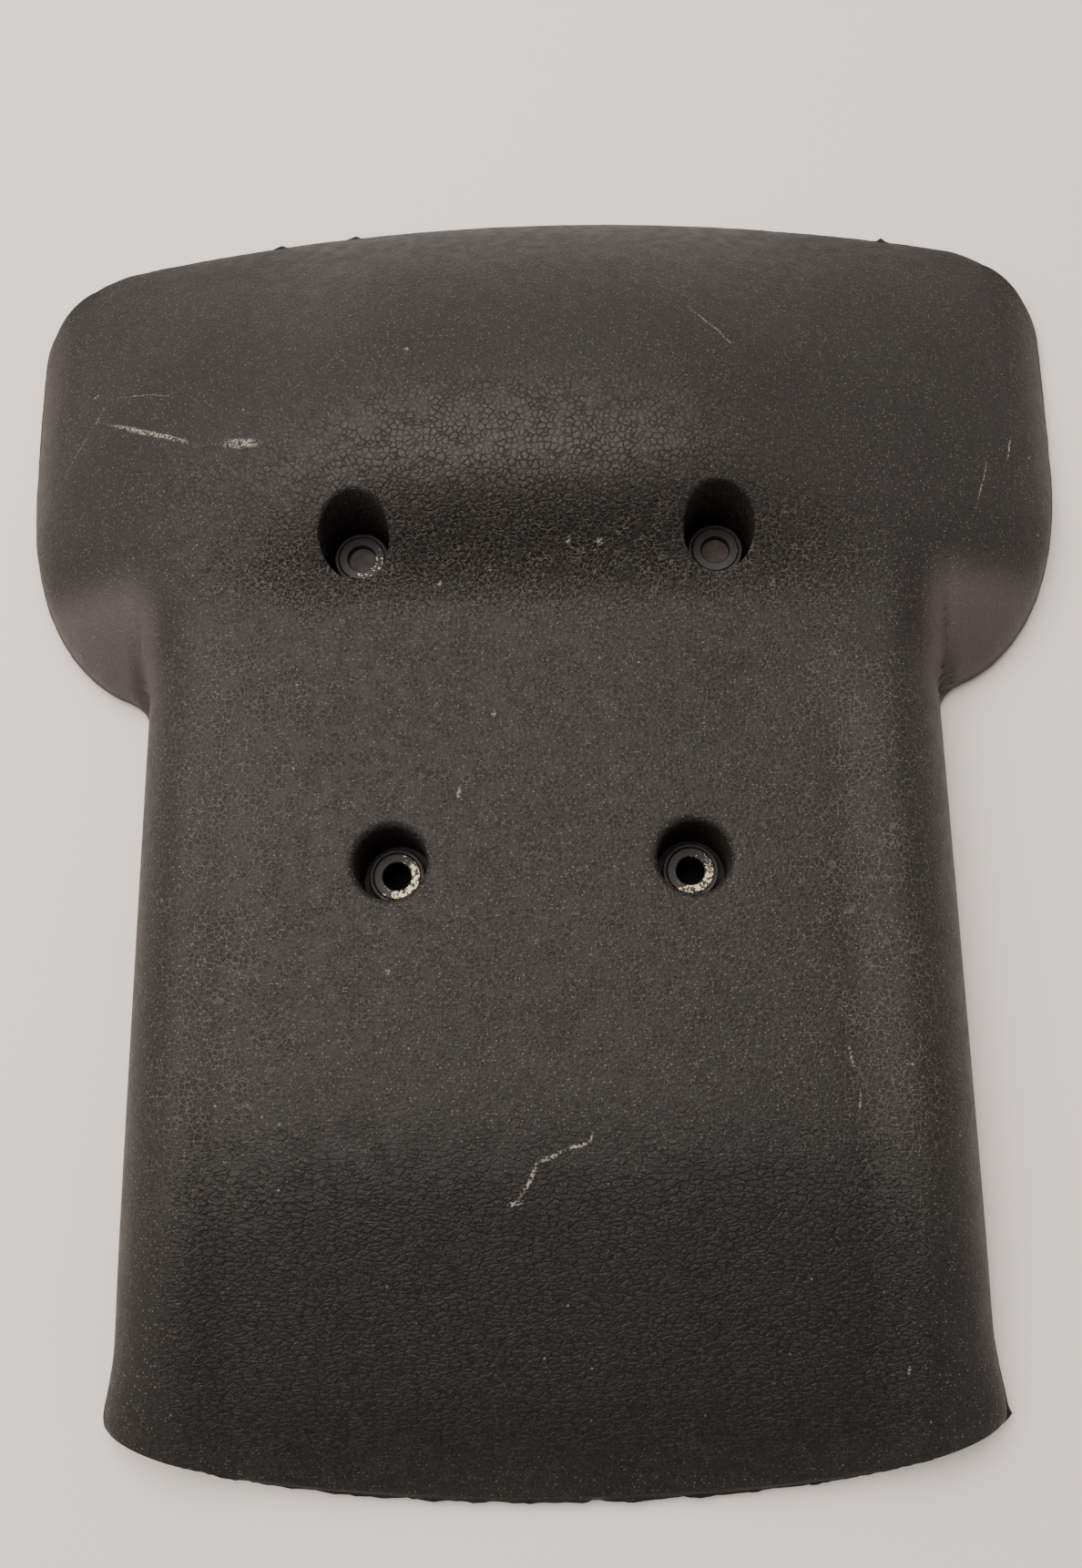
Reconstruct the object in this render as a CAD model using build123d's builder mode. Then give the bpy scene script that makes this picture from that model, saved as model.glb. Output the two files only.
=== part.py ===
from build123d import *
import os

# Headrest attachment for an office chair: a urethane pad moulded round a ribbed carrier.
# It lies with its rear face up: +Z towards the rear of the chair, +Y towards the top of
# the head pad, +X to the right. The origin is under the middle of the whole outline.
# All sizes are in millimetres.

# Driving dimensions of the outline
half_length = 202.0          # middle of the outline to the top and bottom edges
head_half_width = 166.0
panel_half_width = 123.0
head_side_low_y = 95.0       # where the side of the head starts to curve in
neck_y = 18.0                # where the ear has run out into the panel side
bottom_corner_y = -181.0
flare = 2.0                  # how far the bottom corners stand out from the panel side
top_corner_drop = 21.0       # fall of the top edge from its middle to the corner
top_corner_radius = 30.0
ear_shoulder = (160.0, 64.0)
ear_tip = (147.0, 39.5)
ear_root = (129.0, 30.5)
bottom_run = (75.0, -197.4)  # the bottom edge is nearly straight out to here
bottom_turn = (106.0, -190.6)

# Heights above the plane that the rim rests on
rim_height = 3.0
panel_height = 34.5
crest_height = 60.0
crest_y = 95.0
bend_y = -119.0              # where the panel turns down to its bottom edge
shoulder_x = 98.0            # the ridge along each side of the panel
shoulder_fall = 1.5          # of the ridge below the middle of the panel
shoulder_foot = (114.0, 23.0)
flat_x = 80.0                # the nearly flat part of the panel's section ends here
flat_fall = 0.8
panel_start = (52.0, 33.5)   # y and z where the panel leaves the head
panel_middle_y = -30.0
bend_fall = 2.0
slope_foot = (-176.0, 15.0)
head_back = (185.0, 26.0)    # y and z of four points round the head's section
head_top = (145.0, 48.0)
head_flank = (74.0, 38.0)
head_toe = (30.0, 0.0)
head_shoulder = (110.0, 53.0)
head_side = (148.0, 34.0)    # x and z, as for the shoulder above

# Hollow in the front of the head, where the head rests: a shallow dish, wider than it is high
dish_depth = 9.0
dish_y = 147.0
dish_swing = 90.0            # radius of the dish across its height
dish_sweep_radius = 700.0    # radius of the dish across its width
dish_half_width = 150.0
dish_end_z = -7.3            # level of the dish's curve at its two ends

# Screw positions
upper_hole_x = 54.0
upper_hole_y = 68.0
lower_hole_x = 43.5
lower_hole_y = -29.0
upper_face_z = 28.5          # face of the upper sleeves
lower_face_z = 15.5          # face of the lower sleeves
screw_bore = 8.4             # clearance bore for an M8 screw
sleeve_diameter = 14.0
boss_diameter = 16.6
well_diameter = 21.0
edge_break = 0.3

# Carrier inside the panel
carrier_underside = 6.0
carrier_thickness = 3.0
carrier_top = carrier_underside + carrier_thickness
seat_z = 5.0                 # raised seat under the carrier, which bears on the chair's frame
seat_gap = 1.0               # between the seat and the foam lip round the recess
carrier_half_width = 104.0
carrier_low_y = -160.0
carrier_high_y = 92.0
carrier_corner = 18.0
foam_lip = 6.0               # how far the foam wraps under the edge of the carrier
rib_height = 6.0
rib_width = 2.5
cross_rib_ys = (-60.0, -100.0)
long_rib_x = 75.0
long_rib_inset = 20.0        # from the carrier's ends to the ends of the long ribs

# Steel armature that carries the head
armature_thickness = 2.0
armature_foot_half_width = 36.0
armature_head_half_width = 104.0
armature_foot_y = 14.0
armature_rise_y = 52.0
armature_head_y = 92.0
armature_plate_y = 98.0      # where the wide plate starts
armature_top_y = 152.0
armature_head_z = 26.0
armature_corner = 20.0
foot_corner = 8.0
lightening_diameter = 22.0
lightening_xs = (-80.0, -40.0, 0.0, 40.0, 80.0)
rivet_x = 22.0
rivet_ys = (24.0, 42.0)
rivet_shank = 5.0
rivet_head = 9.0
rivet_head_height = 2.0
rivet_dome = 1.2

# Discs that keep foam out of the upper sleeves while the pad is moulded
seal_depth = 2.3
seal_thickness = 1.5

upper_holes = [(-upper_hole_x, upper_hole_y), (upper_hole_x, upper_hole_y)]
lower_holes = [(-lower_hole_x, lower_hole_y), (lower_hole_x, lower_hole_y)]
rivet_points = [(x, y) for x in (-rivet_x, rivet_x) for y in rivet_ys]
carrier_mid_y = (carrier_low_y + carrier_high_y) / 2
carrier_length = carrier_high_y - carrier_low_y
plate_mid_y = (armature_plate_y + armature_top_y) / 2

os.makedirs("parts", exist_ok=True)


def save(piece, name):
    """Label one finished piece and write it as its own STEP file."""
    piece.label = name
    export_step(piece, f"parts/{name}.step")


def add_side(sign):
    """Add one side of the outline, from the top corner down to the middle of the bottom edge."""
    top_corner = (sign * head_half_width, half_length - top_corner_drop)
    ear_start = (sign * head_half_width, head_side_low_y)
    shoulder = (sign * ear_shoulder[0], ear_shoulder[1])
    tip = (sign * ear_tip[0], ear_tip[1])
    root = (sign * ear_root[0], ear_root[1])
    neck = (sign * panel_half_width, neck_y)
    flare_start = (sign * panel_half_width, bottom_corner_y + 14.0)
    bottom_corner = (sign * (panel_half_width + flare), bottom_corner_y)
    Line(top_corner, ear_start)
    ear = Spline(ear_start, shoulder, tip, tangents=[(0, -1), (sign * -0.86, -0.5)])
    Spline(ear @ 1, root, neck, tangents=[ear % 1, (0, -1)])
    Line(neck, flare_start)
    Line(flare_start, bottom_corner)
    Spline(
        bottom_corner,
        (sign * bottom_turn[0], bottom_turn[1]),
        (sign * bottom_run[0], bottom_run[1]),
        (0, -half_length),
        tangents=[(sign * -0.9, -0.4), (-sign, 0)],
    )


# The planform of the whole pad, from the rim up
with BuildPart() as planform:
    with BuildSketch():
        with BuildLine():
            ThreePointArc(
                (-head_half_width, half_length - top_corner_drop),
                (0, half_length),
                (head_half_width, half_length - top_corner_drop),
            )
            add_side(1)
            add_side(-1)
        make_face()
        corners = vertices().group_by(Axis.Y)
        fillet(corners[-1], top_corner_radius)
    extrude(amount=crest_height + 5)

# The panel: an arched section along its length, cut to the fall of its lower end
with BuildPart() as panel:
    with BuildSketch(Plane.XZ.offset(-crest_y)):
        with BuildLine():
            right = Spline(
                (0, panel_height),
                (flat_x, panel_height - flat_fall),
                (shoulder_x, panel_height - shoulder_fall),
                shoulder_foot,
                (panel_half_width + flare, rim_height),
                tangents=[(1, 0), (0.35, -1)],
            )
            left = mirror(right, about=Plane.YZ)
            Polyline(right @ 1, (panel_half_width + flare, 0), (-panel_half_width - flare, 0), left @ 1)
        make_face()
    extrude(amount=half_length + crest_y)
    with BuildSketch(Plane.YZ):
        with BuildLine():
            fall = Spline(
                (crest_y, panel_height - bend_fall),
                panel_start,
                (panel_middle_y, panel_height),
                (bend_y, panel_height - bend_fall),
                slope_foot,
                (-half_length, rim_height),
                tangents=[(-1, 0), (-0.8, -0.4)],
            )
            Polyline(fall @ 1, (-half_length, 0), (crest_y, 0), fall @ 0)
        make_face()
    extrude(amount=panel_half_width + flare, both=True, mode=Mode.INTERSECT)

# The head: a roll across the top whose steep lower flank drops to the panel and the ears
with BuildPart() as head:
    with BuildSketch(Plane.YZ):
        with BuildLine():
            roll = Spline(
                (half_length, rim_height),
                head_back,
                head_top,
                (crest_y, crest_height),
                head_flank,
                head_toe,
                tangents=[(-0.25, 1), (-1, -0.45)],
            )
            Polyline(roll @ 1, (half_length, 0), roll @ 0)
        make_face()
    extrude(amount=head_half_width, both=True)
    with BuildSketch(Plane.XZ):
        with BuildLine():
            right = Spline(
                (0, crest_height),
                head_shoulder,
                head_side,
                (head_half_width, rim_height),
                tangents=[(1, 0), (0.25, -1)],
            )
            left = mirror(right, about=Plane.YZ)
            Polyline(right @ 1, (head_half_width, 0), (-head_half_width, 0), left @ 1)
        make_face()
    extrude(amount=-half_length, mode=Mode.INTERSECT)

# Carrier: a flat nylon plate with a raised seat below, a rim rib, cross ribs and four tall bosses
with BuildPart() as carrier:
    with BuildSketch(Plane.XY.offset(seat_z)):
        with Locations((0, carrier_mid_y)):
            RectangleRounded(
                2 * (carrier_half_width - foam_lip - seat_gap),
                carrier_length - 2 * (foam_lip + seat_gap),
                carrier_corner - foam_lip - seat_gap,
            )
    extrude(amount=carrier_underside - seat_z)
    with BuildSketch(Plane.XY.offset(carrier_underside)):
        with Locations((0, carrier_mid_y)):
            RectangleRounded(2 * carrier_half_width, carrier_length, carrier_corner)
    extrude(amount=carrier_thickness)
    with BuildSketch(Plane.XY.offset(carrier_top)):
        with Locations((0, carrier_mid_y)):
            RectangleRounded(2 * carrier_half_width, carrier_length, carrier_corner)
            RectangleRounded(
                2 * (carrier_half_width - rib_width),
                carrier_length - 2 * rib_width,
                carrier_corner - rib_width,
                mode=Mode.SUBTRACT,
            )
        with Locations(*[(0, y) for y in cross_rib_ys]):
            Rectangle(2 * carrier_half_width - rib_width, rib_width)
        with Locations((-long_rib_x, carrier_mid_y), (long_rib_x, carrier_mid_y)):
            Rectangle(rib_width, carrier_length - 2 * long_rib_inset)
    extrude(amount=rib_height)
    with BuildSketch(Plane.XY.offset(carrier_underside)):
        with Locations(*upper_holes):
            Circle(boss_diameter / 2)
    extrude(amount=upper_face_z - carrier_underside)
    with BuildSketch(Plane.XY.offset(carrier_underside)):
        with Locations(*lower_holes):
            Circle(boss_diameter / 2)
    extrude(amount=lower_face_z - carrier_underside)
    with BuildSketch(Plane.XY.offset(seat_z)):
        with Locations(*upper_holes, *lower_holes):
            Circle(sleeve_diameter / 2)
        with Locations(*rivet_points):
            Circle(rivet_shank / 2)
    extrude(amount=crest_height, mode=Mode.SUBTRACT)
    mouths = edges().filter_by(GeomType.CIRCLE)
    upper_mouths = mouths.filter_by_position(Axis.Z, upper_face_z - 0.01, upper_face_z + 0.01)
    lower_mouths = mouths.filter_by_position(Axis.Z, lower_face_z - 0.01, lower_face_z + 0.01)
    chamfer(upper_mouths + lower_mouths, edge_break)
save(carrier.part, "carrier_plate")

# Armature: pressed steel, a narrow foot riveted to the carrier and a wide plate in the head
with BuildPart() as armature:
    with BuildSketch(Plane.YZ):
        with BuildLine():
            Polyline(
                (armature_foot_y, carrier_top),
                (armature_rise_y, carrier_top),
                (armature_head_y, armature_head_z),
                (armature_top_y, armature_head_z),
                (armature_top_y, armature_head_z + armature_thickness),
                (armature_head_y - 1, armature_head_z + armature_thickness),
                (armature_rise_y - 1, carrier_top + armature_thickness),
                (armature_foot_y, carrier_top + armature_thickness),
                close=True,
            )
        make_face()
    extrude(amount=armature_head_half_width, both=True)
    with BuildSketch():
        with Locations((0, plate_mid_y)):
            plate_length = armature_top_y - armature_plate_y
            RectangleRounded(2 * armature_head_half_width, plate_length, armature_corner)
        with Locations((0, (armature_foot_y + armature_top_y) / 2)):
            foot_length = armature_top_y - armature_foot_y
            RectangleRounded(2 * armature_foot_half_width, foot_length, foot_corner)
        with Locations(*[(x, plate_mid_y) for x in lightening_xs]):
            Circle(lightening_diameter / 2, mode=Mode.SUBTRACT)
        with Locations(*rivet_points):
            Circle(rivet_shank / 2, mode=Mode.SUBTRACT)
    extrude(amount=crest_height, mode=Mode.INTERSECT)
save(armature.part, "head_armature")

# Rivets: four steel rivets through the armature foot, flush with the carrier's seat
with BuildPart() as rivets:
    with BuildSketch(Plane.XY.offset(seat_z)):
        with Locations(*rivet_points):
            Circle(rivet_shank / 2)
    extrude(amount=carrier_top + armature_thickness - seat_z)
    with BuildSketch(Plane.XY.offset(carrier_top + armature_thickness)):
        with Locations(*rivet_points):
            Circle(rivet_head / 2)
    extrude(amount=rivet_head_height)
    fillet(edges().group_by(Axis.Z)[-1], rivet_dome)
save(rivets.part, "armature_rivets")

# Sleeves: a steel tube in each boss, which takes the clamping load of its screw
sleeves = {
    "upper_left_sleeve": (upper_holes[0], upper_face_z),
    "upper_right_sleeve": (upper_holes[1], upper_face_z),
    "lower_left_sleeve": (lower_holes[0], lower_face_z),
    "lower_right_sleeve": (lower_holes[1], lower_face_z),
}
for name, (place, face_z) in sleeves.items():
    with BuildPart() as sleeve:
        with BuildSketch(Plane.XY.offset(seat_z)):
            with Locations(place):
                Circle(sleeve_diameter / 2)
                Circle(screw_bore / 2, mode=Mode.SUBTRACT)
        extrude(amount=face_z - seat_z)
        chamfer(edges().group_by(Axis.Z)[-1], edge_break)
    save(sleeve.part, name)

# Seals: a thin disc pressed into each upper sleeve, just below its face
seals = {"upper_left_bore_seal": upper_holes[0], "upper_right_bore_seal": upper_holes[1]}
for name, place in seals.items():
    with BuildPart() as seal:
        with BuildSketch(Plane.XY.offset(upper_face_z - seal_depth - seal_thickness)):
            with Locations(place):
                Circle(screw_bore / 2)
        extrude(amount=seal_thickness)
    save(seal.part, name)

# Recess in the hidden side: the foam's lip wraps under the edge of the carrier
with BuildPart() as recess:
    with BuildSketch():
        with Locations((0, carrier_mid_y)):
            RectangleRounded(
                2 * (carrier_half_width - foam_lip),
                carrier_length - 2 * foam_lip,
                carrier_corner - foam_lip,
            )
    extrude(amount=carrier_underside)

# Dish in the front of the head: a shallow bowed form, turned about an axis below the pad
axis_z = dish_depth - dish_swing
with BuildPart() as dish:
    with BuildSketch(Plane.XZ.offset(-dish_y)):
        with BuildLine():
            left_end = (-dish_half_width, dish_end_z)
            right_end = (dish_half_width, dish_end_z)
            bowl = RadiusArc(left_end, right_end, dish_sweep_radius)
            Polyline(bowl @ 0, (-dish_half_width, axis_z), (dish_half_width, axis_z), bowl @ 1)
        make_face()
    revolve(axis=Axis((0, dish_y, axis_z), (1, 0, 0)), revolution_arc=360)

# Pad: integral-skin urethane foam, moulded round the carrier and the armature in one piece
with BuildPart() as pad:
    add(panel)
    add(head)
    add(planform, mode=Mode.INTERSECT)
    add(recess, mode=Mode.SUBTRACT)
    add(dish, mode=Mode.SUBTRACT)
    with BuildSketch(Plane.XY.offset(carrier_top)):
        with Locations(*upper_holes, *lower_holes):
            Circle(well_diameter / 2)
    extrude(amount=crest_height, mode=Mode.SUBTRACT)
    add(carrier, mode=Mode.SUBTRACT)
    add(armature, mode=Mode.SUBTRACT)
    add(rivets, mode=Mode.SUBTRACT)
    with BuildSketch(Plane.XY.offset(carrier_underside)):
        with Locations(*upper_holes, *lower_holes):
            Circle(boss_diameter / 2)
    extrude(amount=upper_face_z - carrier_underside, mode=Mode.SUBTRACT)
save(pad.part, "urethane_pad")
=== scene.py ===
import math

import bmesh
import bpy
from mathutils import Matrix, Vector, noise


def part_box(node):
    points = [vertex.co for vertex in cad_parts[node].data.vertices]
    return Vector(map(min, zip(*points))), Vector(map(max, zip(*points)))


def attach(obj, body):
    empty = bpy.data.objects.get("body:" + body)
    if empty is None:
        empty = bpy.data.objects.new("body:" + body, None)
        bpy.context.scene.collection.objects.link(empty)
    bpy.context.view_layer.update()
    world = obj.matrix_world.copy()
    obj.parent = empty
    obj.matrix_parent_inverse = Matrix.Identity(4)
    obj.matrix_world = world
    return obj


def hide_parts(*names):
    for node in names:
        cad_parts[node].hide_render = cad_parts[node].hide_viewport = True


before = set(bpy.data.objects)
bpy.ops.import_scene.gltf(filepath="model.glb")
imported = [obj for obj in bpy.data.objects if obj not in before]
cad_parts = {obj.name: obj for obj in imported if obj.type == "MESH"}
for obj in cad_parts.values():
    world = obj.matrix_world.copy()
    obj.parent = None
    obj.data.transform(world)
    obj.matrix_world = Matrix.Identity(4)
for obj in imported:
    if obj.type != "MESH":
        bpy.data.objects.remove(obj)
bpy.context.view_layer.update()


# ---------------------------------------------------------------- urethane pad
# The whole pad is one moulding of integral-skin urethane foam, poured round a stiff carrier.
# The mould gives it a leather grain, a parting line with thin flash, and four wells for screws.
# Lengths in this section are millimetres until the finished mesh is scaled to metres.
MM = 0.001
HEAD_HALF = 166.0        # half width across the two ears
PANEL_HALF = 123.0       # half width of the lower panel
LENGTH_HALF = 202.0
RIM = 3.4                # height of the parting line above the plane the pad rests on
CREST = 60.0             # height of the head roll
PANEL_FACE = 34.5        # height of the panel's face
TOP_ARC = 657.0          # radius of the long top edge
CORNER = 37.0            # radius of the two top corners
CORNER_X = HEAD_HALF - CORNER
CORNER_Y = LENGTH_HALF - TOP_ARC + math.sqrt((TOP_ARC - CORNER) ** 2 - CORNER_X ** 2)
CORNER_TURN = math.radians(50)
WELL_RADIUS = 10.5
WELL_FLOOR = 7.6         # height of the carrier's plate, where the wells end
RECESS = 7.5             # depth of the hollow for the carrier on the hidden side
DISH_Y = 147.0           # middle of the dish for a head, on the hidden side of the roll
DISH_RADIUS, DISH_DEPTH = 90.0, 9.0
UPPER_LIP, LOWER_LIP = 1.1, 2.6
NOTCH_Y = 20.0           # where the straight side of the panel ends below the ear
EAR_Y = 104.0            # where the ear is widest
COLUMNS, ROWS = 184, 224


def bezier(a, b, c, d, steps):
    """Points of one cubic curve, without its last point."""
    for i in range(steps):
        t = i / steps
        u = 1 - t
        yield tuple(
            u ** 3 * p + 3 * u * u * t * q + 3 * u * t * t * r + t ** 3 * s
            for p, q, r, s in zip(a, b, c, d)
        )


def side_outline():
    """The right side from the bottom corner, past the ear, to half way round the top corner."""
    points = [(123.9, -182.9), (124.9, -181.6)]
    points += bezier((125.2, -179.6), (125.0, -172.0), (PANEL_HALF, -168.0), (PANEL_HALF, -156.0), 12)
    notch = (PANEL_HALF, NOTCH_Y)
    points += bezier((PANEL_HALF, -156.0), (PANEL_HALF, -100.0), (PANEL_HALF, -60.0), notch, 40)
    points += bezier(notch, (PANEL_HALF, 28.0), (126.0, 30.0), (134.0, 33.5), 24)
    widest = (HEAD_HALF - 0.4, EAR_Y)
    points += bezier((134.0, 33.5), (148.0, 41.0), (164.5, 61.0), widest, 48)
    points += bezier(widest, (HEAD_HALF, 120.0), (HEAD_HALF, 140.0), (HEAD_HALF, CORNER_Y), 20)
    for i in range(25):
        turn = CORNER_TURN * i / 24
        points.append((CORNER_X + CORNER * math.cos(turn), CORNER_Y + CORNER * math.sin(turn)))
    return points


def top_edge(x):
    """Height up the page of the top edge at x."""
    x = abs(x)
    touch = CORNER_X * TOP_ARC / (TOP_ARC - CORNER)
    if x < touch:
        return LENGTH_HALF - TOP_ARC + math.sqrt(TOP_ARC ** 2 - x * x)
    return CORNER_Y + math.sqrt(max(CORNER ** 2 - (x - CORNER_X) ** 2, 0))


def bottom_edge(x):
    """The bottom edge: nearly straight, then curving up to its corners."""
    return -LENGTH_HALF + 0.0008 * x * x + 5.9 * (x / 122.0) ** 8


side = side_outline()
side_reach = [0.0]
for here, there in zip(side, side[1:]):
    side_reach.append(side_reach[-1] + math.dist(here, there))


def side_point(t):
    """A point of the right side at the fraction t of its length."""
    reach = t * side_reach[-1]
    low = 0
    while low < len(side) - 2 and side_reach[low + 1] < reach:
        low += 1
    part = (reach - side_reach[low]) / (side_reach[low + 1] - side_reach[low])
    return tuple(p + (q - p) * part for p, q in zip(side[low], side[low + 1]))


def half_width(y):
    """Half of the pad's width at y."""
    if y >= side[-1][1]:
        return side[-1][0]
    for (xa, ya), (xb, yb) in zip(side, side[1:]):
        if ya <= y <= yb:
            return xa + (xb - xa) * (y - ya) / (yb - ya)
    return side[0][0]


def ease(low, high, value):
    """0 below low, 1 above high, and a smooth step between them."""
    t = min(max((value - low) / (high - low), 0.0), 1.0)
    return t * t * (3 - 2 * t)


def hump(value, middle, width):
    """A soft bump that is 1 at its middle."""
    return math.exp(-((value - middle) / width) ** 2)


def rounded_box(x, y, half, low, high, radius):
    """Distance outside a rounded rectangle, negative inside it."""
    dx = abs(x) - half + radius
    dy = abs(y - (low + high) / 2) - (high - low) / 2 + radius
    return math.hypot(max(dx, 0), max(dy, 0)) + min(max(dx, dy), 0) - radius


def dome(q, power, root):
    """1 at q = 0 and 0 at q = 1: a high power keeps it level longer, a low root ends it steeply."""
    q = min(max(q, 0.0), 1.0)
    return (1 - q ** power) ** root


def panel_top(x, y):
    """The panel: a nearly flat face with a rounded shoulder, falling away below a curved bend."""
    a = abs(x)
    # The slope starts lower at the sides, and gets a little steeper just above the bottom edge
    below = -119.0 - 11.0 * (a / 87.0) ** 2 - y
    fall = 0.27 * (below + math.hypot(below, 17.0)) / 2
    last = -174.0 - y
    fall += 0.11 * (last + math.hypot(last, 8.0)) / 2
    face = PANEL_FACE - 1.2 * ((y + 30.0) / 90.0) ** 2 - 0.9 * (a / 80.0) ** 2 - fall
    # A low ridge with a trough inside it runs up both sides and round the top of the panel
    edge = rounded_box(x, y, 91.0, -400.0, 27.0, 22.0)
    strength = 1 - 0.8 * (1 - ease(35.0, 80.0, a)) * ease(-20.0, 10.0, y)
    face += strength * (0.8 * hump(edge, 10.0, 8.0) - 0.7 * hump(edge, -3.0, 6.5))
    edge_x = half_width(y) if y < NOTCH_Y else PANEL_HALF
    shoulder = dome((a - 101.0) / (edge_x - 101.0), 2.3, 0.60)
    return RIM + max(face - RIM, 0.0) * shoulder


def ear_edge(a):
    """Height up the page of the ear's lower edge at the distance a from the middle."""
    for (xa, ya), (xb, yb) in zip(side, side[1:]):
        if ya >= NOTCH_Y and xa <= a <= xb:
            return ya + (yb - ya) * (a - xa) / max(xb - xa, 1e-6)
    return EAR_Y if a > PANEL_HALF else NOTCH_Y


def pad_top(x, y):
    """The whole face: the panel, and a roll across its top that drops to it and to the ears."""
    a = abs(x)
    crest_y = 89.0 - 4.0 * ease(40.0, 110.0, a)
    crest = (CREST - RIM) * dome(a / HEAD_HALF, 3.0, 0.70) * (1 - 0.27 * ease(40.0, 105.0, a))
    if y >= crest_y:
        end = top_edge(min(a, 150.0))
        return RIM + crest * dome((y - crest_y) / (end - crest_y), 1.9, 0.86)
    panel = panel_top(x, y)
    # Below the crest the roll drops to the panel in two even curves, and to the ears in one round one
    foot = max(45.0 - 6.0 * ease(40.0, 95.0, a) - 9.0 * ease(98.0, 126.0, a), ear_edge(a))
    q = min((crest_y - y) / max(crest_y - foot, 1.0), 1.0)
    flank = 1 - 2 * q * q if q < 0.5 else 2 * (1 - q) ** 2
    ear = (1 - q * q) ** (1.4 - 0.87 * ease(104.0, 127.0, a))
    share = flank + (ear - flank) * ease(96.0, 124.0, a)
    return panel + (RIM + crest - panel) * share


def smooth_max(a, b, width):
    """The greater of two values, with the corner between them rounded over a width."""
    step = max(width - abs(a - b), 0.0) / width
    return max(a, b) + step * step * width / 4


def pad_under(x, y):
    """The hidden side: flat at the rim, hollow under the carrier, dished where a head rests."""
    recess = RECESS * ease(-0.6, 1.6, -rounded_box(x, y, 98.0, -154.0, 86.0, 12.0))
    reach = min(abs(y - DISH_Y), DISH_RADIUS - 1.0)
    dish = DISH_DEPTH - DISH_RADIUS + math.sqrt(DISH_RADIUS ** 2 - reach ** 2) - x * x / 1400.0
    return max(recess, smooth_max(dish, 0.0, 2.0))


def place(s, t):
    """Where the point s across and t along the sheet lies in the pad's outline."""
    # Columns and rows stand closer toward the edges, where the form turns fastest
    s = s * (1.2 - 0.2 * abs(s))
    t = t - 0.03 * math.sin(2 * math.pi * t)
    w, y = side_point(t)
    top_x, top_y = side[-1]
    low_x, low_y = side[0]
    rise = ease(60.0, top_y, y) * (top_edge(s * top_x) - top_y)
    drop = (1 - ease(low_y, -110.0, y)) * (bottom_edge(s * low_x) - bottom_edge(low_x))
    return s * w, y + rise + drop


def grow(bm, ring):
    """Extrude a closed ring of vertices and return the new ring in the same order."""
    edges = [bm.edges.get((ring[i], ring[i - 1])) for i in range(len(ring))]
    made = bmesh.ops.extrude_edge_only(bm, edges=edges)["geom"]
    fresh = {item for item in made if isinstance(item, bmesh.types.BMVert)}
    return [next(e.other_vert(v) for e in v.link_edges if e.other_vert(v) in fresh) for v in ring]


def open_ring(bm, near, reach):
    """The ring of open edges round a hole, in order, starting from the right of its centre."""
    edges = {e for e in bm.edges if e.is_boundary and (e.verts[0].co.xy - near).length < reach}
    start = max((v for e in edges for v in e.verts), key=lambda v: (v.co.x, v.co.y))
    ring = [start]
    while True:
        follow = [
            e.other_vert(ring[-1]) for e in ring[-1].link_edges
            if e in edges and e.other_vert(ring[-1]) not in ring[-2:]
        ]
        if len(ring) == 1:
            follow.sort(key=lambda v: -v.co.y)
        follow = [v for v in follow if v is not start]
        if not follow:
            return ring
        ring.append(follow[0])


def open_well(bm, centre, turn_in, height):
    """Cut a square out of the sheet and close it down, ring by ring, to a round hole."""
    column_of, row_of = bm.verts.layers.int["column"], bm.verts.layers.int["row"]
    middle = min(bm.verts, key=lambda v: (v.co.xy - centre).length)
    column, row = middle[column_of], middle[row_of]
    beside = max(abs(e.other_vert(middle).co.x - middle.co.x) for e in middle.link_edges)
    above = max(abs(e.other_vert(middle).co.y - middle.co.y) for e in middle.link_edges)
    # Half the side of the square, and a reach that is just past its corners
    half_patch, past_corner = 17.0, 26.0
    wide, high = round(half_patch / beside), round(half_patch / above)
    inside = [
        f for f in bm.faces
        if all(abs(v[column_of] - column) <= wide and abs(v[row_of] - row) <= high for v in f.verts)
    ]
    bmesh.ops.delete(bm, geom=inside, context="FACES")
    ring = open_ring(bm, centre, past_corner)
    count = len(ring)
    starts = [math.atan2(v.co.y - centre.y, v.co.x - centre.x) for v in ring]
    base = starts[0]
    evens = [base + 2 * math.pi * i / count for i in range(count)]
    for radius, down, share in turn_in:
        ring = grow(bm, ring)
        for v, old, even in zip(ring, starts, evens):
            swing = (even - old + math.pi) % (2 * math.pi) - math.pi
            angle = old + swing * share
            x = centre.x + radius * math.cos(angle)
            y = centre.y + radius * math.sin(angle)
            v.co = (x, y, height(x, y, down))


def well_height(x, y, down):
    """Height in a well: down its rounded lip first, then down its wall to the carrier."""
    lip, wall = down
    mouth = pad_top(x, y) - lip
    return mouth + (WELL_FLOOR - mouth) * wall


def mouth_steps(radius):
    """Rings of a well: round its lip first, then straight down its wall."""
    steps = []
    for i in range(9):
        out = radius * (1 - i / 8) ** 1.5
        drop = radius - math.sqrt(radius ** 2 - (radius - out) ** 2)
        steps.append((WELL_RADIUS + out, (drop, 0.0), min(1, i / 5)))
    return steps + [(WELL_RADIUS, (radius, i / 8), 1.0) for i in range(1, 9)]


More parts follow.
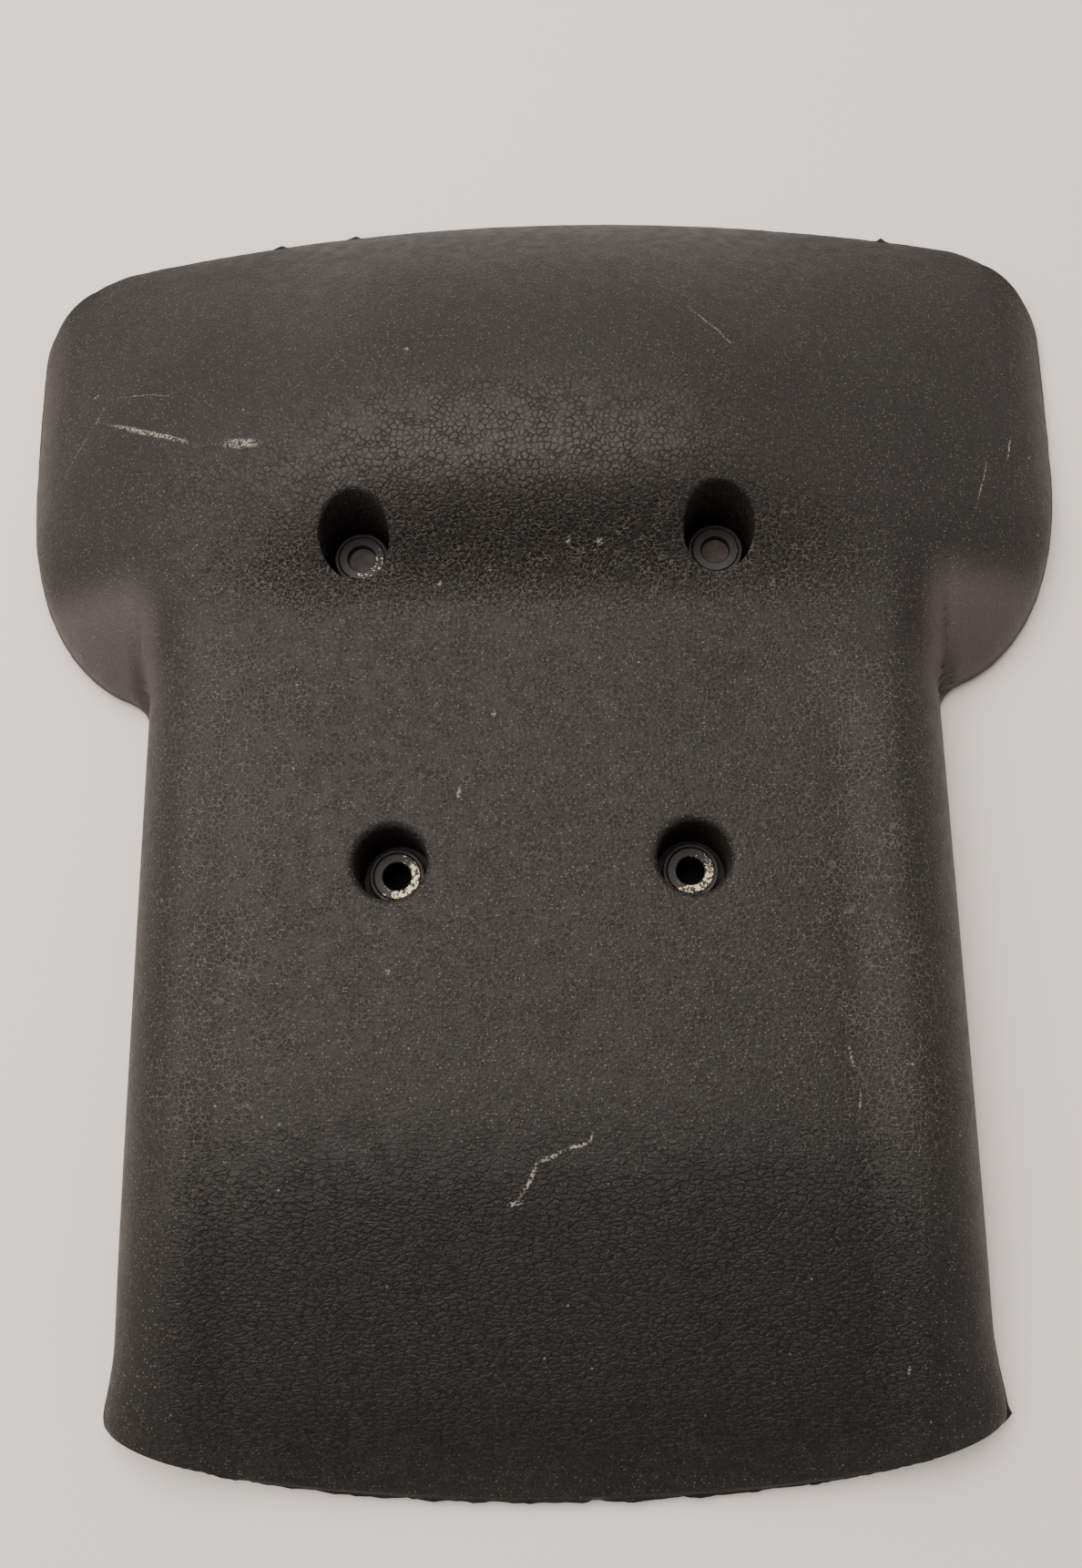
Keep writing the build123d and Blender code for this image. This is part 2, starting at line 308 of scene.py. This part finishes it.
def sheet(inset_across, inset_along, height):
    """A grid warped to the pad's outline and raised to a height, with its columns and rows marked."""
    bm = bmesh.new()
    bmesh.ops.create_grid(bm, x_segments=COLUMNS, y_segments=ROWS, size=1.0)
    column_of = bm.verts.layers.int.new("column")
    row_of = bm.verts.layers.int.new("row")
    for v in bm.verts:
        v[column_of] = round(v.co.x * COLUMNS / 2)
        v[row_of] = round(v.co.y * ROWS / 2)
        along = inset_along + (1 - 2 * inset_along) * (v.co.y + 1) / 2
        x, y = place(v.co.x * (1 - inset_across), along)
        v.co = (x, y, height(x, y))
    return bm


# Each well is centred on the sleeve that stands in it
wells = []
for name in ("upper_right_sleeve", "lower_right_sleeve"):
    low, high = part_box(name)
    middle = (low + high) / 2 / MM
    wells += [Vector((-middle.x, middle.y)), Vector((middle.x, middle.y))]

bm = sheet(0.0, 0.0, pad_top)
for v in bm.verts:
    if v.is_boundary:
        v.co.z = RIM
for centre in wells:
    open_well(bm, centre, mouth_steps(UPPER_LIP if centre.y > 0 else LOWER_LIP), well_height)

under = sheet(0.02, 0.006, pad_under)
bmesh.ops.reverse_faces(under, faces=under.faces)
for centre in wells:
    open_well(under, centre, [(13.0, 0, 0.5), (WELL_RADIUS, 0, 1.0)], lambda x, y, down: RECESS)
under_mesh = bpy.data.meshes.new("under")
under.to_mesh(under_mesh)
under.free()


def flash(x, y):
    """Width of the trimmed flash: a hair on most of the edge, ragged along the bottom."""
    ragged = noise.noise(Vector((x * 0.16, y * 0.16, 3.0)))
    ragged += 0.5 * noise.noise(Vector((x * 0.7, y * 0.7, 9.0)))
    width = 0.30 + 0.15 * ragged
    if y < -184.0:
        width = 0.55 + 0.65 * ragged - 1.3 * hump(x, 12.0, 1.6)
    for nib_x, nib_y in ((-88.0, 196.0), (-62.5, 199.0), (117.5, 191.4), (124.5, -180.5)):
        width += 1.5 * hump(math.hypot(x - nib_x, y - nib_y), 0.0, 1.1)
    return width


ring = open_ring(bm, Vector((0.0, 0.0)), 1000.0)
count = len(ring)
flat = [v.co.xy.copy() for v in ring]
outward = []
for i in range(count):
    run = flat[(i + 1) % count] - flat[i - 1]
    normal = Vector((run.y, -run.x)).normalized()
    outward.append(normal if normal.dot(flat[i]) > 0 else -normal)
# Rings under the parting line: out to the flash, then in round the lower edge to the flat back
for level, step in ((3.25, "flash"), (2.75, "flash"), (2.6, -0.1), (1.6, -0.35), (0.7, -1.0), (0.2, -1.9)):
    ring = grow(bm, ring)
    for v, point, normal in zip(ring, flat, outward):
        reach = flash(point.x, point.y) if step == "flash" else step
        v.co = (*(point + normal * reach), level)
bm.from_mesh(under_mesh)
bpy.data.meshes.remove(under_mesh)
# Join the face to the back: round the outside first, then round the foot of each well
open_edges = [e for e in bm.edges if e.is_boundary]
feet = [
    [e for e in open_edges if (e.verts[0].co.xy - centre).length < WELL_RADIUS + 1.5]
    for centre in wells
]
outer = [e for e in open_edges if not any(e in foot for foot in feet)]
for loops in [outer] + feet:
    bmesh.ops.bridge_loops(bm, edges=loops)
bmesh.ops.scale(bm, vec=(MM, MM, MM), verts=bm.verts)
for name in ("row", "column"):
    bm.verts.layers.int.remove(bm.verts.layers.int[name])
for f in bm.faces:
    f.smooth = True
pad_mesh = bpy.data.meshes.new("grained_pad")
bm.to_mesh(pad_mesh)
bm.free()
pad = bpy.data.objects.new("grained_pad", pad_mesh)
bpy.context.scene.collection.objects.link(pad)


def to_linear(colour):
    """Linear RGBA of an sRGB hex colour."""
    parts = [int(colour[i:i + 2], 16) / 255 for i in (1, 3, 5)]
    return (*(p / 12.92 if p <= 0.04045 else ((p + 0.055) / 1.055) ** 2.4 for p in parts), 1.0)


def add_node(tree, kind, inputs=None, **settings):
    """Add a node with its settings, and give each input a value or the output of another node."""
    node = tree.nodes.new(kind)
    for name, value in settings.items():
        setattr(node, name, value)
    for name, value in (inputs or {}).items():
        if isinstance(value, bpy.types.Node):
            value = value.outputs[0]
        if isinstance(value, bpy.types.NodeSocket):
            tree.links.new(value, node.inputs[name])
        else:
            node.inputs[name].default_value = value
    return node


def new_material(name):
    material = bpy.data.materials.new(name)
    material.use_nodes = True
    material.node_tree.nodes.clear()
    return material, material.node_tree


# How the grain varies over the pad: open cells on the crest, folds on the slopes, dust in low places, and a
# map of painted light, paler where the skin catches or reflects the light and darker where it lies in shade
GRAIN_MAPS = ("cells", "folds", "dust", "painted_light")
for name in GRAIN_MAPS:
    pad_mesh.attributes.new(name, "FLOAT", "POINT")
grain_maps = {name: pad_mesh.attributes[name].data for name in GRAIN_MAPS}
for v in pad_mesh.vertices:
    x, y, z = v.co / MM
    a = abs(x)
    crest = math.exp(-((x + 16.0) / 88.0) ** 2) * hump(y, 88.0, 25.0)
    valley = hump(y, 62.0, 13.0) * (1 - ease(70.0, 118.0, a))
    flank = hump(y, 71.0, 9.0) * (1 - ease(80.0, 120.0, a))
    slope = (1 - ease(-128.0, -84.0, y)) * ease(-200.0, -176.0, y) * (1 - ease(90.0, 116.0, a))
    margin = hump(a, 97.0, 20.0) * ease(-150.0, -90.0, y) * (1 - ease(20.0, 60.0, y))
    middle = (1 - ease(70.0, 105.0, a)) * (1 - ease(30.0, 60.0, y)) * ease(-120.0, -60.0, y)
    seen = ease(2.0, 5.0, z)
    ear = ease(110.0, 126.0, a) * (1 - ease(44.0, 74.0, y)) * ease(18.0, 26.0, y)
    # Painted highlight: paler on the crest, on the lower ears and along the outer edge of the head, where
    # the skin catches or reflects the light
    painted_highlight = 0.24 * crest + 0.62 * ear + 0.25 * ease(HEAD_HALF - 14.0, HEAD_HALF - 2.0, a)
    # Painted shade: darker on the lower slope, in the valley, along the top edge and along the middle of
    # the bottom edge, where the skin faces away from the light or lies in shade
    fresh = 0.34 * slope + 0.24 * valley * (1 - ease(50.0, 95.0, a)) + 0.45 * ease(160.0, 200.0, y)
    fresh += 0.2 * (1 - ease(-186.0, -172.0, y)) * (1 - ease(60.0, 110.0, a))
    grain_maps["painted_light"][v.index].value = min(1.0, max(0.0, 0.5 + painted_highlight - fresh))
    grain_maps["cells"][v.index].value = seen * min(1.0, 0.14 + crest + 0.5 * valley + 0.25 * middle)
    grain_maps["folds"][v.index].value = seen * min(1.0, 0.9 * slope + 0.8 * flank + 0.25 * middle)
    grain_maps["dust"][v.index].value = seen * min(1.0, 0.16 + 0.9 * valley + 0.55 * margin + 0.25 * middle)

# The skin is cast against an etched mould, so it is dull, with a leather grain of several sizes:
# open cells, short folds across the slope, fine pebbles, and pale dust in the lines that are never
# wiped. Light and shade are painted into its colour as well: painted highlights on the raised tops
# and in small glints, painted shade in the grooves and pits, and a map of painted light that is paler
# where the skin catches or reflects the light and darker where it lies in shade.
skin, tree = new_material("urethane_integral_skin_leather_grain")
where = add_node(tree, "ShaderNodeTexCoord").outputs["Object"]
cells, folds, dust, painted_light = (
    add_node(tree, "ShaderNodeAttribute", attribute_name=name).outputs["Fac"] for name in GRAIN_MAPS
)

# The grain wanders by up to about a millimetre, and the folds are wider than they are high
drift = add_node(tree, "ShaderNodeTexNoise", {"Vector": where, "Scale": 1 / (8 * MM), "Detail": 2.0})
centred = add_node(
    tree, "ShaderNodeVectorMath", {0: drift.outputs["Color"], 1: (0.5, 0.5, 0.5)}, operation="SUBTRACT"
)
push = add_node(tree, "ShaderNodeVectorMath", {0: centred, "Scale": 2.6 * MM}, operation="SCALE")
bent = add_node(tree, "ShaderNodeVectorMath", {0: where, 1: push}, operation="ADD")
squat = add_node(tree, "ShaderNodeMapping", {"Vector": bent, "Scale": (1.0, 2.1, 1.5)})
CELL_SIZE, FOLD_SIZE, CRACK_SIZE = 1.9 * MM, 3.0 * MM, 1.8 * MM
cell_edge, fold_edge, crack_edge = (
    add_node(
        tree, "ShaderNodeTexVoronoi", {"Vector": lie, "Scale": 1 / size}, feature="DISTANCE_TO_EDGE"
    )
    for lie, size in ((bent, CELL_SIZE), (squat, FOLD_SIZE), (bent, CRACK_SIZE))
)
# The grit is drawn at 0.42 mm, which is about as fine as shows, so finer grit is left out
patchy, broad, grit, ragged = (
    add_node(tree, "ShaderNodeTexNoise", {"Vector": where, "Scale": 1 / size, "Detail": detail})
    for size, detail in ((5 * MM, 3.0), (38 * MM, 2.0), (0.42 * MM, 1.0), (0.75 * MM, 2.0))
)
fine, glint_cell, speck_cell = (
    add_node(tree, "ShaderNodeTexVoronoi", {"Vector": lie, "Scale": 1 / size}, feature="F1")
    for lie, size in ((bent, 0.95 * MM), (where, 0.9 * MM), (bent, 6 * MM))
)
glint_pick = add_node(tree, "ShaderNodeSeparateColor", {"Color": glint_cell.outputs["Color"]})
speck_pick = add_node(tree, "ShaderNodeSeparateColor", {"Color": speck_cell.outputs["Color"]})

# Smooth steps of the patterns: the value, where the step starts and ends, and what it gives there
pattern = {
    name: add_node(
        tree, "ShaderNodeMapRange", {0: value, 1: low, 2: high, 3: start, 4: end},
        interpolation_type="SMOOTHSTEP",
    )
    for name, value, low, high, start, end in (
        ("deep", patchy, 0.36, 0.60, 0.35, 1.0),
        ("pale", patchy, 0.35, 0.62, 0.30, 1.0),
        ("cell_groove", cell_edge, 0.01, 0.12, 1.0, 0.0),
        ("fold_groove", fold_edge, 0.01, 0.15, 1.0, 0.0),
        ("crack", crack_edge, 0.015, 0.075, 1.0, 0.0),
        ("cell_rise", cell_edge, 0.0, 0.40, 0.0, 0.6),
        ("fold_rise", fold_edge, 0.0, 0.30, 0.0, 0.3),
        ("tone", broad, 0.35, 0.65, 0.0, 1.0),
        # Fine speckle: the pits are painted darker and the grit tops paler, partly the grain's own speckle
        # and partly painted shade and painted highlight; the glints are painted highlights
        ("pit", fine, 0.35, 0.75, 0.0, 0.45),
        ("pebble", grit, 0.48, 0.64, 0.0, 0.42),
        ("glint_spot", glint_cell, 0.12, 0.34, 1.0, 0.0),
        ("glint_chance", glint_pick.outputs["Green"], 0.40, 0.95, 0.0, 1.0),
        # These two turn the map of painted light into a painted highlight above its middle and a painted
        # shade below it
        ("painted_highlight", painted_light, 0.5, 1.0, 0.0, 0.60),
        ("fresh", painted_light, 0.0, 0.5, 0.75, 0.0),
        ("speck_spot", speck_cell, 0.03, 0.09, 0.7, 0.0),
        ("speck_chance", speck_pick.outputs["Red"], 0.72, 0.76, 0.0, 1.0),
        ("broken", ragged, 0.44, 0.56, 0.0, 1.0),
        ("gloss", patchy, 0.3, 0.7, 0.50, 0.60),
    )
}

# Sums and products of the patterns, each of which may use the ones before it
for name, operation, first, second in (
    ("cell_part", "MULTIPLY", "cell_groove", "deep"), ("cell_line", "MULTIPLY", "cell_part", cells),
    ("fold_part", "MULTIPLY", "fold_groove", "deep"), ("fold_line", "MULTIPLY", "fold_part", folds),
    ("crack_part", "MULTIPLY", "crack", "pale"), ("crack_line", "MULTIPLY", "crack_part", dust),
    # The grooves of the cells and folds, which are also painted dark as painted shade
    ("lines", "MAXIMUM", "cell_line", "fold_line"),
    ("cell_top", "MULTIPLY", "cell_rise", cells), ("fold_top", "MULTIPLY", "fold_rise", folds),
    ("swell", "MAXIMUM", "cell_top", "fold_top"),
    ("body", "SUBTRACT", "swell", "lines"),
    ("grit_height", "MULTIPLY", grit, 0.5), ("fine_depth", "MULTIPLY", fine, 0.45),
    ("texture", "SUBTRACT", "grit_height", "fine_depth"), ("height", "ADD", "body", "texture"),
    ("glint", "MULTIPLY", "glint_spot", "glint_chance"), ("glint_share", "MULTIPLY", "glint", 0.72),
    # The raised tops of the grain get a paler colour, a painted highlight where they catch the light
    ("swell_highlight_share", "MULTIPLY", "swell", 0.45), ("groove_shade_share", "MULTIPLY", "lines", 0.85),
    ("dust_share", "MULTIPLY", "crack_line", 0.55),
    ("specks", "MULTIPLY", "speck_spot", "speck_chance"),
):
    pair = {0: pattern.get(first, first), 1: pattern.get(second, second)}
    pattern[name] = add_node(tree, "ShaderNodeMath", pair, operation=operation)
grain = add_node(
    tree, "ShaderNodeBump", {"Height": pattern["height"], "Strength": 1.0, "Distance": 0.22 * MM}
)

# Pale rubs, scratches and flecks: middle, length, width, turn in degrees, strength
marks = [
    (-121.5, 111.5, 40.0, 2.4, -24.0, 1.0), (-125.5, 127.0, 26.0, 0.6, -10.0, 0.6),
    (-90.0, 101.5, 17.0, 4.2, -14.0, 1.0), (-143.3, 131.0, 3.0, 1.4, 30.0, 0.9),
    (-144.0, 117.0, 40.0, 0.7, 60.0, 0.42), (-23.3, -8.7, 1.8, 5.5, 0.0, 0.6),
    (-13.2, 15.2, 1.6, 3.4, 0.0, 0.6), (-43.7, -60.7, 1.6, 3.0, 0.0, 0.6),
    (-38.2, 124.2, 2.6, 1.6, 20.0, 0.8), (18.6, 64.8, 3.0, 2.4, 0.0, 1.0),
    (9.7, 65.0, 1.8, 2.4, 0.0, 0.9), (-14.5, 58.9, 2.4, 1.8, 0.0, 1.0),
    (-29.2, 55.4, 1.8, 2.0, 0.0, 0.9), (54.5, 132.4, 27.0, 0.7, -49.0, 0.7),
    (148.4, 104.0, 15.0, 0.6, 74.0, 0.9), (136.7, 88.4, 22.0, 0.6, 72.0, 0.9),
    (-8.6, -124.0, 6.0, 2.0, 12.0, 0.9), (-4.6, -117.4, 15.0, 1.5, 62.0, 1.0),
    (1.6, -111.5, 9.0, 1.6, 24.0, 0.9), (8.6, -109.0, 10.0, 1.2, 22.0, 1.0),
    (12.4, -106.4, 4.0, 1.2, 60.0, 0.8), (84.4, -86.0, 1.2, 9.0, 4.0, 0.6),
    (86.1, -98.3, 1.0, 7.0, -6.0, 0.5), (95.9, -168.1, 1.2, 3.0, 0.0, 0.7),
]
rub = 0.0
for x, y, length, width, turn, strength in marks:
    lie = add_node(
        tree, "ShaderNodeMapping",
        {
            "Vector": bent, "Location": (x * MM, y * MM, 0.0),
            "Rotation": (0.0, 0.0, math.radians(turn)), "Scale": (length * MM / 2, width * MM / 2, 1.0),
        },
        vector_type="TEXTURE",
    )
    reach = add_node(tree, "ShaderNodeVectorMath", {0: lie}, operation="LENGTH").outputs["Value"]
    fade = add_node(
        tree, "ShaderNodeMapRange", {0: reach, 1: 0.35, 2: 1.0, 3: strength, 4: 0.0},
        interpolation_type="SMOOTHSTEP",
    )
    rub = add_node(tree, "ShaderNodeMath", {0: rub, 1: fade}, operation="MAXIMUM")
rub = add_node(tree, "ShaderNodeMath", {0: pattern["specks"], 1: rub}, operation="MAXIMUM")
rub = add_node(tree, "ShaderNodeMath", {0: rub, 1: pattern["broken"]}, operation="MULTIPLY")

# Colours laid over one another from the bottom up, each by its own share
tint = to_linear("#1a1817")
for share, colour in (
    # On this line the pits are partly painted shade, the grit tops partly painted highlight, and the glints
    # painted highlights
    ("tone", "#201e1c"), ("pit", "#151312"), ("pebble", "#403b37"), ("glint_share", "#7a736b"),
    # On this line the raised grain tops and the pale colour are painted highlights, and the near-black
    # colour is painted shade
    ("swell_highlight_share", "#453e38"), ("painted_highlight", "#5c5550"), ("fresh", "#0d0c0b"),
    # The near-black colour in the grooves is painted shade; the pale dust and the rubs after it are the
    # skin's own
    ("groove_shade_share", "#0c0b0a"), ("dust_share", "#6a635d"), (rub, "#958c83"),
):
    blend = {"Fac": pattern.get(share, share), "Color1": tint, "Color2": to_linear(colour)}
    tint = add_node(tree, "ShaderNodeMixRGB", blend)
finish = add_node(
    tree, "ShaderNodeBsdfPrincipled",
    {
        "Base Color": tint, "Normal": grain, "Roughness": pattern["gloss"],
        "IOR": 1.39, "Specular IOR Level": 0.42,
    },
)
add_node(tree, "ShaderNodeOutputMaterial", {"Surface": finish})
pad_mesh.materials.append(skin)
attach(pad, "root")
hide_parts("urethane_pad")


# ---------------------------------------------------------------- carrier plate
# A ribbed nylon plate that the foam is poured round. Only the tops of its four bosses show, in
# the wells, and its flat seat on the hidden side, which bears on the chair's frame.
plastic, tree = new_material("nylon_black_glass_filled")
where = add_node(tree, "ShaderNodeTexCoord").outputs["Object"]
# Glass-filled nylon comes out of the mould dull, with a faint grey mottle where its fibres lie
mottle = add_node(tree, "ShaderNodeTexNoise", {"Vector": where, "Scale": 1 / (1.5 * MM), "Detail": 4.0})
fibres, dullness = (
    add_node(
        tree, "ShaderNodeMapRange", {0: mottle, 1: low, 2: high, 3: start, 4: end},
        interpolation_type="SMOOTHSTEP",
    )
    for low, high, start, end in ((0.35, 0.70, 0.0, 1.0), (0.3, 0.7, 0.45, 0.62))
)
tint = add_node(
    tree, "ShaderNodeMixRGB",
    {"Fac": fibres, "Color1": to_linear("#161413"), "Color2": to_linear("#262322")},
)
skin_bump = add_node(tree, "ShaderNodeBump", {"Height": mottle, "Strength": 0.4, "Distance": 0.05 * MM})
finish = add_node(
    tree, "ShaderNodeBsdfPrincipled",
    {"Base Color": tint, "Roughness": dullness, "Normal": skin_bump, "IOR": 1.5},
)
add_node(tree, "ShaderNodeOutputMaterial", {"Surface": finish})


def coat(name, material):
    """Give a piece of the frame this material in place of its plain one."""
    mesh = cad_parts[name].data
    mesh.materials.clear()
    mesh.materials.append(material)


coat("carrier_plate", plastic)


# ---------------------------------------------------------------- screw sleeves
# Four steel tubes pressed into the bosses, painted black with the ring face turned outwards.
# Screw heads have cut through the paint to bright metal, most of all on the lower pair.
for name, wear in (
    ("upper_left_sleeve", 0.47), ("upper_right_sleeve", 0.36),
    ("lower_left_sleeve", 0.58), ("lower_right_sleeve", 0.57),
):
    low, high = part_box(name)
    middle = (low + high) / 2
    painted, tree = new_material("steel_black_paint_" + name)
    where = add_node(tree, "ShaderNodeTexCoord").outputs["Object"]
    # The bare metal shows as broken flecks, thickest to the right and below, where the tool slipped
    side_of = add_node(tree, "ShaderNodeVectorMath", {0: where, 1: middle}, operation="SUBTRACT")
    slip = add_node(
        tree, "ShaderNodeVectorMath", {0: side_of, 1: (0.78, -0.62, 0.0)}, operation="DOT_PRODUCT"
    )
    face = add_node(tree, "ShaderNodeSeparateXYZ", {"Vector": where}).outputs["Z"]
    flecks = add_node(
        tree, "ShaderNodeTexNoise",
        {"Vector": where, "Scale": 1 / (1.1 * MM), "Detail": 4.0, "Distortion": 0.8},
    )
    dull = add_node(tree, "ShaderNodeTexNoise", {"Vector": where, "Scale": 1 / (0.6 * MM), "Detail": 3.0})
    slipped = add_node(
        tree, "ShaderNodeMapRange", {0: slip.outputs["Value"], 1: -5 * MM, 2: 5 * MM, 3: -0.12, 4: 0.10},
        interpolation_type="SMOOTHSTEP",
    )
    scuffed = add_node(tree, "ShaderNodeMath", {0: flecks, 1: slipped}, operation="ADD")
    chipped, near_face, gritty = (
        add_node(
            tree, "ShaderNodeMapRange", {0: value, 1: start, 2: end, 3: 0.0, 4: 1.0},
            interpolation_type="SMOOTHSTEP",
        )
        for value, start, end in (
            (scuffed, 1.13 - wear, 1.19 - wear),
            (face, high.z - 0.5 * MM, high.z - 0.2 * MM), (dull, 0.4, 0.7),
        )
    )
    bare = add_node(tree, "ShaderNodeMath", {0: chipped, 1: near_face}, operation="MULTIPLY")
    metal = add_node(tree, "ShaderNodeMath", {0: bare, 1: 0.75}, operation="MULTIPLY")
    polish = add_node(
        tree, "ShaderNodeMapRange", {0: bare, 1: 0.0, 2: 1.0, 3: 0.50, 4: 0.36},
        interpolation_type="SMOOTHSTEP",
    )
    relief = add_node(tree, "ShaderNodeMath", {0: dull, 1: bare}, operation="SUBTRACT")
    dents = add_node(tree, "ShaderNodeBump", {"Height": relief, "Strength": 0.5, "Distance": 0.06 * MM})
    tint = to_linear("#161413")
    for share, colour in ((gritty, "#2b2826"), (bare, "#b5a78d")):
        tint = add_node(
            tree, "ShaderNodeMixRGB", {"Fac": share, "Color1": tint, "Color2": to_linear(colour)}
        )
    finish = add_node(
        tree, "ShaderNodeBsdfPrincipled",
        {"Base Color": tint, "Metallic": metal, "Roughness": polish, "Normal": dents, "IOR": 1.5},
    )
    add_node(tree, "ShaderNodeOutputMaterial", {"Surface": finish})
    coat(name, painted)


# ---------------------------------------------------------------- bore seals
# Two thin fibre discs pressed into the upper sleeves, just below their faces, to keep foam out.
# They are grey, dull and a little dusty.
board, tree = new_material("fibre_board_grey")
where = add_node(tree, "ShaderNodeTexCoord").outputs["Object"]
# Pressed fibre takes dust unevenly, so the disc is softly blotched and has no shine
blotch = add_node(tree, "ShaderNodeTexNoise", {"Vector": where, "Scale": 1 / (2.2 * MM), "Detail": 4.0})
dusty = add_node(
    tree, "ShaderNodeMapRange", {0: blotch, 1: 0.35, 2: 0.65, 3: 0.0, 4: 1.0},
    interpolation_type="SMOOTHSTEP",
)
tint = add_node(
    tree, "ShaderNodeMixRGB",
    {"Fac": dusty, "Color1": to_linear("#423b3a"), "Color2": to_linear("#524a48")},
)
finish = add_node(tree, "ShaderNodeBsdfPrincipled", {"Base Color": tint, "IOR": 1.45, "Roughness": 0.8})
add_node(tree, "ShaderNodeOutputMaterial", {"Surface": finish})
for name in ("upper_left_bore_seal", "upper_right_bore_seal"):
    coat(name, board)


# ---------------------------------------------------------------- armature and rivets
# A pressed steel plate with lightening holes, riveted to the carrier, that stiffens the head.
# Foam covers it completely, so it keeps the plain zinc finish it was stamped in.
zinc, tree = new_material("steel_zinc_plated")
where = add_node(tree, "ShaderNodeTexCoord").outputs["Object"]
# Zinc sets on the sheet in broad faint crystals that shift its sheen from patch to patch
spangle = add_node(tree, "ShaderNodeTexVoronoi", {"Vector": where, "Scale": 1 / (6 * MM)}, feature="F1")
patch = add_node(tree, "ShaderNodeSeparateColor", {"Color": spangle.outputs["Color"]}).outputs["Red"]
tint = add_node(
    tree, "ShaderNodeMixRGB",
    {"Fac": patch, "Color1": to_linear("#8c8d8f"), "Color2": to_linear("#9fa0a1")},
)
sheen = add_node(
    tree, "ShaderNodeMapRange", {0: patch, 1: 0.0, 2: 1.0, 3: 0.34, 4: 0.46},
    interpolation_type="SMOOTHSTEP",
)
finish = add_node(
    tree, "ShaderNodeBsdfPrincipled", {"Base Color": tint, "Roughness": sheen, "Metallic": 0.9}
)
add_node(tree, "ShaderNodeOutputMaterial", {"Surface": finish})
for name in ("head_armature", "armature_rivets"):
    coat(name, zinc)


# ---------------------------------------------------------------- table, light and camera
# The pad lies on a pale matt table under one large softbox, up and to the left of it, in a light
# room that is darker toward the viewer. The camera looks down from close above the panel.
bm = bmesh.new()
bmesh.ops.create_grid(bm, x_segments=1, y_segments=1, size=3.0)
bmesh.ops.translate(bm, vec=(0.0, 0.0, -0.2 * MM), verts=bm.verts)
floor_mesh = bpy.data.meshes.new("table")
bm.to_mesh(floor_mesh)
bm.free()
floor = bpy.data.objects.new("table", floor_mesh)
bpy.context.scene.collection.objects.link(floor)
# Pale matt paper, with a black disc of painted shade where the pad covers it, so that the open lower bores
# look dark
paper, tree = new_material("paper_pale_matt_with_painted_shade")
SHADE_DISC_RADIUS = 0.10
where = add_node(tree, "ShaderNodeTexCoord").outputs["Object"]
spread = (1 / SHADE_DISC_RADIUS, 1 / SHADE_DISC_RADIUS, 0.0)
under_pad = add_node(tree, "ShaderNodeVectorMath", {0: where, 1: spread}, operation="MULTIPLY")
far = add_node(tree, "ShaderNodeVectorMath", {0: under_pad}, operation="LENGTH").outputs["Value"]
# Painted shade: the paper is black under the pad and fades to pale at the disc's edge
hidden = add_node(
    tree, "ShaderNodeMapRange", {0: far, 1: 0.8, 2: 1.0, 3: 1.0, 4: 0.0}, interpolation_type="SMOOTHSTEP"
)
tint = add_node(
    tree, "ShaderNodeMixRGB",
    {"Fac": hidden, "Color1": to_linear("#f3ebe6"), "Color2": to_linear("#0c0b0b")},
)
finish = add_node(tree, "ShaderNodeBsdfPrincipled", {"Base Color": tint, "Roughness": 0.9})
add_node(tree, "ShaderNodeOutputMaterial", {"Surface": finish})
floor_mesh.materials.append(paper)

softbox = bpy.data.lights.new("key_softbox", "AREA")
softbox.shape = "RECTANGLE"
softbox.size, softbox.size_y = 1.5, 1.2
softbox.energy = 22.5
softbox.color = to_linear("#fff8f1")[:3]
lamp = bpy.data.objects.new("key_softbox", softbox)
lamp.location = (-0.34, 0.29, 1.05)
aim = Vector((-0.04, 0.12, 0)) - lamp.location
lamp.rotation_euler = aim.to_track_quat("-Z", "Y").to_euler()
bpy.context.scene.collection.objects.link(lamp)

world = bpy.data.worlds.new("soft_room")
world.use_nodes = True
tree = world.node_tree
tree.nodes.clear()
toward = add_node(tree, "ShaderNodeTexCoord").outputs["Generated"]
viewer = (0.0, -0.64, 0.77)
front = add_node(tree, "ShaderNodeVectorMath", {0: toward, 1: viewer}, operation="DOT_PRODUCT")
level = add_node(
    tree, "ShaderNodeMapRange", {0: front.outputs["Value"], 1: 0.55, 2: 0.97, 3: 0.74, 4: 0.08},
    interpolation_type="SMOOTHSTEP",
)
room = add_node(tree, "ShaderNodeBackground", {"Color": to_linear("#fbf8f6"), "Strength": level})
add_node(tree, "ShaderNodeOutputWorld", {"Surface": room})
bpy.context.scene.world = world

# It is about half a metre up, below the pad's middle, and a little turned on every axis
TILT, ROLL, YAW = math.radians(16.243), math.radians(-6.744), math.radians(5.735)
camera_data = bpy.data.cameras.new("camera")
camera_data.sensor_width = 36.0
camera_data.lens = 36.33
camera = bpy.data.objects.new("camera", camera_data)
turn = Matrix.Rotation(YAW, 4, "Z") @ Matrix.Rotation(TILT, 4, "X") @ Matrix.Rotation(ROLL, 4, "Z")
camera.matrix_world = Matrix.Translation((0.01294, -0.134, 0.473)) @ turn
bpy.context.scene.collection.objects.link(camera)
bpy.context.scene.camera = camera
